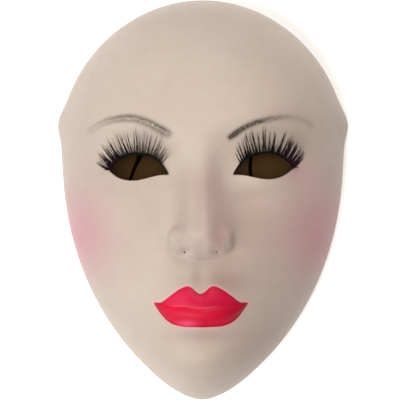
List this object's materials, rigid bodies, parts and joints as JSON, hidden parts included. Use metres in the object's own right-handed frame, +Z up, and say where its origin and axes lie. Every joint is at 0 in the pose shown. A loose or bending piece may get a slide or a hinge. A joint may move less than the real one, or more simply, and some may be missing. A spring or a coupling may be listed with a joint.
{
  "type": "latex woman face mask",
  "caption": "Full-face slush-cast latex mask of a made-up woman's face with open eyes, false eyelash strips and an elastic head strap, lying face up on its rim.",
  "frame": {"origin": "on the surface the mask lies on, under the middle of its outline, in the plane of the rim", "axes": "+Z up out of the face, +Y towards the forehead, +X towards the viewer's right"},
  "size_m": [0.1612, 0.2199, 0.0922],
  "materials": {
    "painted_latex": "satin, pale skin colour, painted brows, blush and glossy pink-red lips",
    "lash_fibre": "black synthetic fibre with a slight sheen",
    "elastic_braid": "black braided elastic"
  },
  "bodies": {
    "root": {"mask_shell": "painted_latex", "left_lashes": "lash_fibre", "right_lashes": "lash_fibre", "elastic_strap": "elastic_braid"}
  },
  "joints": []
}
